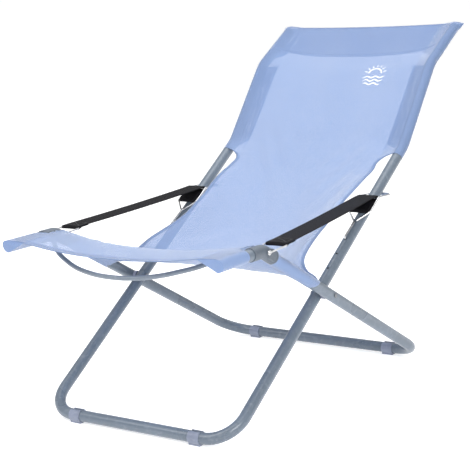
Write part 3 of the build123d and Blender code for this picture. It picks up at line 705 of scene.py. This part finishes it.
def wrap_grid(b, g0, g1, ext, step=0.006, ease0=0.0, ease1=0.0, names=None):
    gs = np.linspace(g0, g1, max(2, int((g1 - g0) / step) + 1))
    P, UV = [], []
    for g in gs:
        e = ext(g) if callable(ext) else ext
        p, f = wrap(g, e)
        i = np.interp(g, GS, np.arange(len(GS)))
        u_edge = np.interp(g, GS, U_ARC[:, -1])
        P.append(p)
        UV.append(np.stack([u_edge + f, np.full(len(f), g)], axis=1))
    P, UV = np.array(P), np.array(UV)
    if abs(g1 - G_LEG1) < 1e-9:   # its lower end is cut on a slant, longest along the top
        d_leg = np.array([0.0, -math.cos(SEAT_SLOPE), math.sin(SEAT_SLOPE)])
        for k, g in enumerate(gs):
            w = max(0.0, (g - (G_LEG1 - 0.085)) / 0.085) ** 2
            n_ = len(P[k]) - 1
            for i, p in enumerate(P[k]):
                p += d_leg * 0.036 * w * min(1.0, 1.6 * i / n_)
    if g0 == 0.0:   # the mouth of the tip's pocket is sewn shut on a slant
        for k, g in enumerate(gs):
            w = max(0.0, 1 - g / 0.022)
            for p in P[k]:
                f = (p[2] - TIP[1]) / WRAP_R
                o = max(0.0, min(1.0, (p[0] - SEAT_HALF) / WRAP_R))
                p[1] += w * w * (0.0008 - 0.0030 * max(f, -0.2) * (0.4 + 0.6 * o))
                p[2] += w * w * 0.0016 * max(f, 0.0) * o
    for s in SIDES:
        Q = P * np.array([s, 1, 1])
        b.grid(Q, UV * np.array([s, 1]), flip=(s < 0))
        if g0 == 0.0:
            loop = list(Q[0]) + [r * np.array([s, 1, 1]) for r in ROWS[0][NU_IN + 1:-1]]
            cen = np.mean(loop, axis=0) + np.array([0, -0.0012, 0])
            mid = [(p + cen) / 2 + np.array([0, -0.0008, 0]) for p in loop]
            k0 = len(b.v)
            b.v += [tuple(p) for p in loop] + [tuple(p) for p in mid] + [tuple(cen)]
            b.uv += [(p[0] + 0.5, p[2]) for p in loop + mid + [cen]]
            m_ = len(loop)
            for j in range(m_):
                j2 = (j + 1) % m_
                b.f.append((k0 + j, k0 + j2, k0 + m_ + j2, k0 + m_ + j)[::s])
                b.f.append((k0 + m_ + j, k0 + m_ + j2, k0 + 2 * m_)[::s])
    return P


def main_sheet(name, i0, i1):
    b = Build()
    P = FULL[i0:i1 + 1]
    U = FULL_U[i0:i1 + 1]
    V = np.repeat(GS[i0:i1 + 1, None], P.shape[1], axis=1)
    b.grid(P, np.stack([U, V], axis=2))
    return b.make(name)


FULL_EXT = 0.12
sling_front = main_sheet("sling_front", 0, SPLIT)
sling_rear = main_sheet("sling_rear", SPLIT, len(GS) - 1)

# pockets of the seat: on the level tips and on the legs
b = Build()
wrap_grid(b, 0.0, G_NOTCH0 - 0.001, FULL_EXT)
wrap_grid(b, G_NOTCH1 + 0.001, G_LEG1, FULL_EXT)
front_pockets = b.make("sling_front_pockets")


# pockets of the back, with a notch at the second bend, then the hood over the tubes' ends
def back_ext(g):
    a = A_BACK0 + (g - G_BACK0) * (A_TOP - A_BACK0) / (G_END - G_BACK0)
    lo, hi = A_KINK2 + 0.012, A_KINK2 + 0.044
    if a < 0.488:
        return 0.043 + (0.0885 - 0.043) * max(0.0, (a - 0.474) / 0.014)
    if a < lo - 0.010 or a > hi + 0.010:
        return FULL_EXT
    k = min(1.0, max(0.0, (a - (lo - 0.010)) / 0.010), max(0.0, ((hi + 0.010) - a) / 0.010))
    k = k * k * (3 - 2 * k)
    return 0.0885 * (1 - k) + 0.033 * k


b = Build()
wrap_grid(b, G_BACK0, G_END, back_ext, step=0.0035)
rear_pockets = b.make("sling_rear_pockets")

# second layer of the head band, between the seams, from its lower border up to the top fold
b = Build()


def band_low(x):
    """Lower border of the head band at x, as arc length up the back."""
    return A_KINK2 + np.interp(abs(x), [0, 0.05, 0.12, 0.165, 0.2], [0.053, 0.052, 0.053, 0.057, 0.062])


nb = 26
xs = np.linspace(-0.2, 0.2, 57)
P, UV = np.zeros((nb + 1, len(xs), 3)), np.zeros((nb + 1, len(xs), 2))
gf = lambda a: G_BACK0 + (a - A_BACK0) * (G_END - G_BACK0) / (A_TOP - A_BACK0)


def on_sheet(g, x):
    """Point and normal of the upper layer at length g and side position x."""
    i = float(np.interp(g, GS, np.arange(len(GS))))
    i0 = int(min(len(GS) - 2, math.floor(i)))
    w = i - i0
    r = FULL[i0] * (1 - w) + FULL[i0 + 1] * w
    n = FULL_N[i0] * (1 - w) + FULL_N[i0 + 1] * w
    p = np.array([x, np.interp(x, r[:, 0], r[:, 1]), np.interp(x, r[:, 0], r[:, 2])])
    m = np.array([np.interp(x, r[:, 0], n[:, k]) for k in range(3)])
    return p, m / np.linalg.norm(m)


for j, x in enumerate(xs):
    a0 = band_low(x)
    for i in range(nb + 1):
        a = a0 + (A_TOP - a0) * i / nb
        p, n = on_sheet(gf(a), x)
        t = i / nb
        ripple = 0.00022 * math.sin(x * 61 + 2.2 * t) * math.sin(x * 23 + 0.7) * math.sin(math.pi * t)
        d = 0.0011 + 0.0034 * math.sin(math.pi * min(1, t * 1.02)) * max(0.0, 1 - (x / 0.21) ** 2) + ripple * max(0.0, 1 - (x / 0.2) ** 4)
        P[i, j] = p - n * d * (1 - 0.75 * (t > 0.999))
        UV[i, j] = (x, gf(a) + 0.0007)
b.grid(P, UV, flip=True)
head_band = b.make("sling_head_band")

# hems: narrow folded strips along the free edges and the front
STRIP = 0.0095


def hem_strip(b, i0, i1, width=STRIP, t=0.0008):
    """A folded hem along the cloth's edge, rows i0 to i1: over, round the edge and under."""
    for s in SIDES:
        P, UV = [], []
        for i in range(i0, i1 + 1):
            r, n = ROWS[i], FULL_N[i, MID:]
            arc = U_ARC[i]
            def at(u):
                return np.array([np.interp(u, arc, r[:, k]) for k in range(3)]), np.array([np.interp(u, arc, n[:, k]) for k in range(3)])
            L = arc[-1]
            ring = []
            for u, h in ((L - width, 0.0001), (L - width + 0.001, t), (L - width * 0.5, t * 1.25), (L - 0.002, t), (L + 0.0006, 0.0),
                         (L - 0.002, -t), (L - width * 0.5, -t * 1.25), (L - width + 0.001, -t), (L - width, -0.0001)):
                q, m = at(min(u, L))
                if u > L:
                    e = r[-1] - r[-2]
                    q = q + e / np.linalg.norm(e) * (u - L)
                ring.append(q + m * h)
            P.append(ring)
            UV.append([(u, GS[i]) for u in (L - width, L - width + .001, L - width * .5, L - .002, L, L + .002, L + width * .5, L + width - .001, L + width)])
        P, UV = np.array(P) * np.array([s, 1, 1]), np.array(UV)
        b.grid(P, UV, flip=(s < 0))


I_LEG1 = int(np.argmin(abs(GS - G_LEG1)))
I_BACK0 = int(np.argmin(abs(GS - G_BACK0)))
I_N0, I_N1 = int(np.argmin(abs(GS - G_NOTCH0))), int(np.argmin(abs(GS - G_NOTCH1)))
b = Build()
hem_strip(b, I_LEG1, SPLIT)
hem_strip(b, I_N0, I_N1, 0.009)
# front hem: the cloth folded under across the whole front
P, UV = [], []
for u, h in ((0.022, -0.0001), (0.021, -0.0010), (0.011, -0.0016), (0.002, -0.0012), (-0.0007, 0.0), (0.002, 0.0009), (0.004, 0.0001)):
    line, uvl = [], []
    for j in range(FULL.shape[1]):
        q = np.array([np.interp(max(u, 0), GS, FULL[:, j, k]) for k in range(3)])
        m = np.array([np.interp(max(u, 0), GS, FULL_N[:, j, k]) for k in range(3)])
        if u < 0:
            q = q + np.array([0, u, 0])
        line.append(q + m * h)
        uvl.append((FULL_U[0, j], 0.03 + u))
    P.append(line); UV.append(uvl)
b.grid(np.array(P), np.array(UV))
front_hem = b.make("sling_front_hem")
b = Build()
hem_strip(b, SPLIT, I_BACK0)
# top fold
P, UV = [], []
for u, h in ((0.004, 0.0001), (0.002, 0.0009), (-0.0008, 0.0002), (0.002, -0.0014), (0.004, -0.0016)):
    line, uvl = [], []
    for j in range(FULL.shape[1]):
        g = G_END - max(u, 0)
        q = np.array([np.interp(g, GS, FULL[:, j, k]) for k in range(3)])
        m = np.array([np.interp(g, GS, FULL_N[:, j, k]) for k in range(3)])
        if u < 0:
            q = q + np.array([0, math.cos(HEAD), math.sin(HEAD)]) * (-u)
        line.append(q + m * h)
        uvl.append((FULL_U[-1, j], g))
    P.append(line); UV.append(uvl)
b.grid(np.array(P), np.array(UV), flip=True)
rear_hem = b.make("sling_rear_hem")

# stitching
bf, br = Build(), Build()


def seam_on_rows(b, i0, i1, inset=None, lift=1, x_of=None):
    """A stitched line on both sides along rows i0..i1, inset from the edge or at the inner seam."""
    for s in SIDES:
        pts, nor = [], []
        for i in range(i0, i1 + 1):
            r, n, arc = ROWS[i], FULL_N[i, MID:], U_ARC[i]
            u = arc[-1] - inset if inset is not None else arc[NU_IN] + (x_of or 0.0)
            pts.append([np.interp(u, arc, r[:, k]) for k in range(3)])
            nor.append([np.interp(u, arc, n[:, k]) for k in range(3)])
        pts, nor = np.array(pts) * np.array([s, 1, 1]), np.array(nor) * np.array([s, 1, 1])
        dash_line(b, pts, nor, lift=0.0006 if inset is None else 0.0014)
        dash_line(b, pts, -nor, lift=0.0016)


seam_on_rows(bf, 1, I_N0 - 1)
seam_on_rows(bf, I_N1 + 1, I_LEG1 - 1)
seam_on_rows(bf, I_LEG1 + 1, SPLIT, inset=STRIP - 0.0022)
seam_on_rows(br, SPLIT, I_BACK0 - 1, inset=STRIP - 0.0022)
i_k2 = int(np.argmin(abs(GS - gf(A_KINK2 + 0.004))))
seam_on_rows(br, I_BACK0 + 3, i_k2)
seam_on_rows(br, I_BACK0 + 3, i_k2, x_of=0.005)
pts, nor = zip(*[on_sheet(0.0185, x) for x in np.linspace(-0.24, 0.24, 90)])
dash_line(bf, pts, nor)
dash_line(bf, pts, -np.array(nor), lift=0.0020)
for off in (0.003, 0.009):
    pts, nor = zip(*[on_sheet(gf(band_low(x) + off), x) for x in np.linspace(-0.238, 0.238, 110)])
    dash_line(br, pts, nor)
    dash_line(br, pts, -np.array(nor), lift=0.0020)
front_stitch = bf.make("sling_front_stitching")
rear_stitch = br.make("sling_rear_stitching")

# printed mark on the back: a plain sun over three waves, its own simple drawing
b = Build()


def decal(cx, ca, loops, lift=0.0006):
    """A ribbon outline laid on the cloth: loops of (x, along, width)."""
    for pts in loops:
        pts = np.array(pts, float)
        t = np.gradient(pts[:, :2], axis=0)
        t /= np.maximum(np.linalg.norm(t, axis=1, keepdims=True), 1e-9)
        nrm = np.stack([-t[:, 1], t[:, 0]], axis=1)
        P, UV = [], []
        for side in (-0.5, 0.5):
            line, uvl = [], []
            for p, m in zip(pts, nrm):
                q = p[:2] + m * side * p[2]
                w, n = on_sheet(gf(ca + q[1]), cx + q[0])
                line.append(w + n * lift)
                uvl.append(q)
            P.append(line); UV.append(uvl)
        b.grid(np.array(P), np.array(UV))


MARK_X, MARK_A = 0.092, 0.484 + 0.211
loops = []
th = np.linspace(math.radians(8), math.radians(172), 40)
loops.append([(0.0185 * math.cos(t), 0.004 + 0.0185 * math.sin(t), 0.0034) for t in th])
for k in range(3):
    w = 0.032 - 0.004 * k
    xx = np.linspace(-w, w, 44)
    loops.append([(x, -0.006 - 0.0105 * k + 0.0026 * math.sin(x * 260), 0.0032 * (1 - 0.6 * (abs(x) / w) ** 3)) for x in xx])
for t in np.linspace(math.radians(18), math.radians(162), 7):
    loops.append([((0.0245 + 0.0085 * f) * math.cos(t), 0.004 + (0.0245 + 0.0085 * f) * math.sin(t), 0.0030 * (1 - 0.5 * f)) for f in np.linspace(0, 1, 6)])
decal(MARK_X, MARK_A, loops)
mark = b.make("printed_mark")

for o, m in ((sling_front, M_CLOTH), (sling_rear, M_CLOTH), (front_pockets, M_POCKET), (rear_pockets, M_CLOTH2), (head_band, M_HEAD),
             (front_hem, M_BIND), (rear_hem, M_BIND), (front_stitch, M_THREAD), (rear_stitch, M_THREAD), (mark, M_INK)):
    o.data.materials.append(m)


def sheet_area(o):
    return float(sum(p.area for p in o.data.polygons))


for o in (sling_front, front_pockets, front_hem, front_stitch):
    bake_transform(o)
for o in (sling_rear, rear_pockets, rear_hem, rear_stitch, head_band, mark):
    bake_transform(o)
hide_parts("sling_seat", "sling_middle")
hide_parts("sling_pocket_left", "sling_pocket_right")
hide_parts("sling_back")
print("areas", sheet_area(sling_front), sheet_area(sling_rear), sheet_area(front_pockets), sheet_area(rear_pockets), sheet_area(head_band))

# ------------------------------------------------------------------ armrest straps
STRAP_W, STRAP_T = 0.050, 0.0019
BACK_N = front_of(np.array([math.cos(BACK_SLOPE), math.sin(BACK_SLOPE)]))
BAR_R = 0.002


def strap_line():
    """Centre line of the armrest webbing in the side view, from the stirrup's bar to the fork's upper bar."""
    a = np.array([KNEE[0] + 0.052, KNEE[1] + 0.004 + 0.0016 + 0.0012])
    z = on_back(0.290, 0.0176 + BAR_R + 0.0012)
    n = 60
    t = np.linspace(0, 1, n)
    p = a[None] * (1 - t[:, None]) + z[None] * t[:, None]
    p[:, 1] -= 0.002 * np.sin(math.pi * t)
    return p


def ribbon(b, line, xs, width, thick, uv_s0=0.0, crown=0.0006):
    """A flat webbing strip: line of side-view points, xs the middle's side positions. Rounded selvedges, closed section."""
    line = np.array(line)
    t = np.gradient(line, axis=0)
    t /= np.linalg.norm(t, axis=1, keepdims=True)
    n = np.stack([-t[:, 1], t[:, 0]], axis=1)
    s = np.concatenate([[0], np.cumsum(np.linalg.norm(np.diff(line, axis=0), axis=1))])
    sec, us = [], []
    m = 14
    for i in range(m + 1):
        u = -1 + 2 * i / m
        sec.append((u * (width / 2 - 0.0006), thick / 2 + crown * (1 - u * u)))
    sec.append((width / 2, 0.0))
    for i in range(m + 1):
        u = 1 - 2 * i / m
        sec.append((u * (width / 2 - 0.0006), -thick / 2 + crown * (1 - u * u)))
    sec.append((-width / 2, 0.0))
    P, UV = [], []
    for k in range(len(line)):
        P.append([np.array([xs[k] + x, *(line[k] + n[k] * h)]) for x, h in sec])
        UV.append([(x if h >= 0 else x + 0.0004, uv_s0 + s[k]) for x, h in sec])
    k0 = b.grid(np.array(P), np.array(UV), close=True)
    c = len(sec)
    b.face([k0 + j for j in range(c)][::-1])
    b.face([k0 + (len(line) - 1) * c + j for j in range(c)])
    return s[-1]


for s, side in ((1, "left"), (-1, "right")):
    line = strap_line()
    L = np.concatenate([[0], np.cumsum(np.linalg.norm(np.diff(line, axis=0), axis=1))])
    stations = np.unique(np.concatenate([np.linspace(0, 1, 61), [0.11, 0.50, 0.86]])) * L[-1]
    line = np.stack([np.interp(stations, L, line[:, k]) for k in (0, 1)], axis=1)
    L = stations
    xs = s * (SEAT_HALF + (BACK_HALF - SEAT_HALF) * np.clip((L / L[-1] - 0.05) / 0.9, 0, 1))
    cuts = [0.0, 0.11, 0.50, 0.86, 1.0]
    names = ["front", "fore", "aft", "rear"]
    for i in range(4):
        k = [j for j in range(len(line)) if cuts[i] - 1e-9 <= L[j] / L[-1] <= cuts[i + 1] + 1e-9]
        b = Build()
        ribbon(b, line[k], xs[k], STRAP_W, STRAP_T, uv_s0=L[k[0]])
        if i == 0:   # turned back under round the stirrup's bar
            c = np.array([KNEE[0] + 0.052, KNEE[1] + 0.004])
            r = 0.0016 + 0.0012
            arc = [c + r * np.array([math.cos(a), math.sin(a)]) for a in np.linspace(math.pi / 2, math.pi * 1.5, 12)]
            tail = []
            for d in np.linspace(0.003, 0.034, 11):
                w = min(1.0, d / 0.014)
                w = w * w * (3 - 2 * w)
                tail.append(np.array([np.interp(d, L, line[:, 0]), np.interp(d, L, line[:, 1]) - 0.0056 * (1 - w) - (STRAP_T + 0.0002) * w]))
            pts = np.array(arc + tail)
            ribbon(b, pts, np.full(len(pts), s * SEAT_HALF), STRAP_W - 0.0006, STRAP_T, uv_s0=0.0)
        if i == 3:   # round the upper bar, down to the lower bar and back
            c1 = on_back(0.290, 0.0176)
            c2 = on_back(0.243, 0.0176)
            r = BAR_R + 0.0012
            t0 = line[-1] - line[-2]
            a0 = math.atan2(t0[1], t0[0]) + math.pi / 2
            a1 = BACK_SLOPE - math.pi / 2 + math.pi
            down = np.array([math.cos(BACK_SLOPE + math.pi), math.sin(BACK_SLOPE + math.pi)])
            # over the upper bar, down the leg's front side
            start_a = a0
            end_a = BACK_SLOPE + math.pi / 2 - math.pi + 0.0
            arc = [c1 + r * np.array([math.cos(a), math.sin(a)]) for a in np.linspace(start_a, end_a, 14)]
            q = arc[-1]
            dn = [q + down * d for d in np.linspace(0.004, 0.043, 9)]
            arc2 = [c2 + r * np.array([math.cos(a), math.sin(a)]) for a in np.linspace(end_a, end_a - math.pi, 14)]
            up = [arc2[-1] - down * d for d in np.linspace(0.004, 0.030, 7)]
            pts = np.array(arc + dn + arc2[1:] + up)
            keep = [0]
            for j in range(1, len(pts)):
                if np.linalg.norm(pts[j] - pts[keep[-1]]) > 0.0004:
                    keep.append(j)
            pts = pts[keep]
            ribbon(b, pts, np.full(len(pts), s * BACK_HALF), STRAP_W - 0.0006, STRAP_T * 0.95, uv_s0=L[-1], crown=0.0001)
        o = b.make("armrest_%s_%s" % (side, names[i]))
        bm = bmesh.new()
        bm.from_mesh(o.data)
        for f in bm.faces:   # the strip's ends are flat cuts with sharp rims
            if len(f.verts) > 8:
                f.smooth = False
                for e in f.edges:
                    e.smooth = False
        bm.to_mesh(o.data)
        bm.free()
        o.data.materials.append(M_WEB)
        if i == 0:
            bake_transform(o)
        elif i == 3:
            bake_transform(o)
        else:
            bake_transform(o)
        if i == 0:
            # box stitching at the front
            b = Build()
            y0 = L[k[0]] + 0.010
            for q0, q1 in (((-0.019, 0.008), (0.019, 0.008)), ((-0.019, 0.034), (0.019, 0.034)), ((-0.019, 0.008), (-0.019, 0.034)),
                           ((0.019, 0.008), (0.019, 0.034)), ((-0.019, 0.008), (0.019, 0.034)), ((0.019, 0.008), (-0.019, 0.034))):
                pp, nn = [], []
                for t in np.linspace(0, 1, 14):
                    x, d = q0[0] + (q1[0] - q0[0]) * t, q0[1] + (q1[1] - q0[1]) * t
                    y, z = np.interp(d, L, line[:, 0]), np.interp(d, L, line[:, 1])
                    pp.append([np.interp(d, L, xs) + x, y, z + STRAP_T / 2 + 0.0006 * (1 - (x / 0.025) ** 2)])
                    nn.append([0, 0, 1])
                dash_line(b, pp, nn, length=0.0026, gap=0.0012, r=0.00038, lift=0.0003)
            st = b.make("armrest_%s_stitching" % side)
            st.data.materials.append(M_BTHREAD)
            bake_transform(st)
    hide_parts("armrest_strap_" + side)
    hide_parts("strap_end_" + side)

# ------------------------------------------------------------------ camera, floor and light
F_PX = 1361.03
C = Vector((1.7968, -2.56696, 0.9365))
YAW, PIT, ROL = 0.6301, 0.1906, -0.059
fw = Vector((-math.sin(YAW) * math.cos(PIT), math.cos(YAW) * math.cos(PIT), -math.sin(PIT)))
right = Vector((math.cos(YAW), math.sin(YAW), 0))
up = right.cross(fw)
r2 = right * math.cos(ROL) + up * math.sin(ROL)
u2 = -right * math.sin(ROL) + up * math.cos(ROL)
cam_data = bpy.data.cameras.new("camera")
cam_data.sensor_width = 36.0
cam_data.sensor_fit = "HORIZONTAL"
cam_data.lens = F_PX / 470.0 * 36.0
cam_data.clip_end = 3000.0
cam = bpy.data.objects.new("camera", cam_data)
SCENE.collection.objects.link(cam)
cam.matrix_world = Matrix(((r2.x, u2.x, -fw.x, C.x), (r2.y, u2.y, -fw.y, C.y), (r2.z, u2.z, -fw.z, C.z), (0, 0, 0, 1)))
SCENE.camera = cam

floor_m = Mat("floor")
f = floor_m.principled((0.74, 0.74, 0.74), 0.85, Specular_IOR_Level=0.1, Emission_Color=(1, 1, 1, 1), Emission_Strength=0.64)
floor_m.done(f)
bpy.ops.mesh.primitive_plane_add(size=2000, location=(0, 0, -0.0004))
floor = bpy.context.active_object
floor.name = "floor"
floor.data.materials.append(floor_m.m)

world = bpy.data.worlds.new("world")
SCENE.world = world
world.use_nodes = True
wn = world.node_tree
wn.nodes.clear()
bg = wn.nodes.new("ShaderNodeBackground")
bg.inputs[0].default_value = (1.0, 1.0, 1.0, 1)
bg.inputs[1].default_value = 0.50
wo = wn.nodes.new("ShaderNodeOutputWorld")
wn.links.new(bg.outputs[0], wo.inputs[0])


def area(name, loc, aim, size, power, color=(1, 1, 1)):
    d = bpy.data.lights.new(name, "AREA")
    d.shape = "RECTANGLE"
    d.size, d.size_y = size
    d.energy = power
    d.color = color
    o = bpy.data.objects.new(name, d)
    SCENE.collection.objects.link(o)
    o.location = loc
    o.rotation_euler = (Vector(aim) - Vector(loc)).to_track_quat("-Z", "Y").to_euler()
    return o


area("key", (-1.6, -2.2, 2.9), (0, 0, 0.35), (2.0, 2.0), 48)
area("fill", (2.6, -2.2, 1.7), (0, -0.1, 0.3), (1.4, 1.4), 68)
area("top", (0.0, -0.5, 3.3), (0, -0.1, 0.35), (2.4, 2.4), 60)
area("rim", (0.1, 1.9, 2.9), (0, -0.3, 0.4), (3.0, 3.0), 34)

SCENE.view_settings.view_transform = "Standard"
SCENE.view_settings.look = "None"
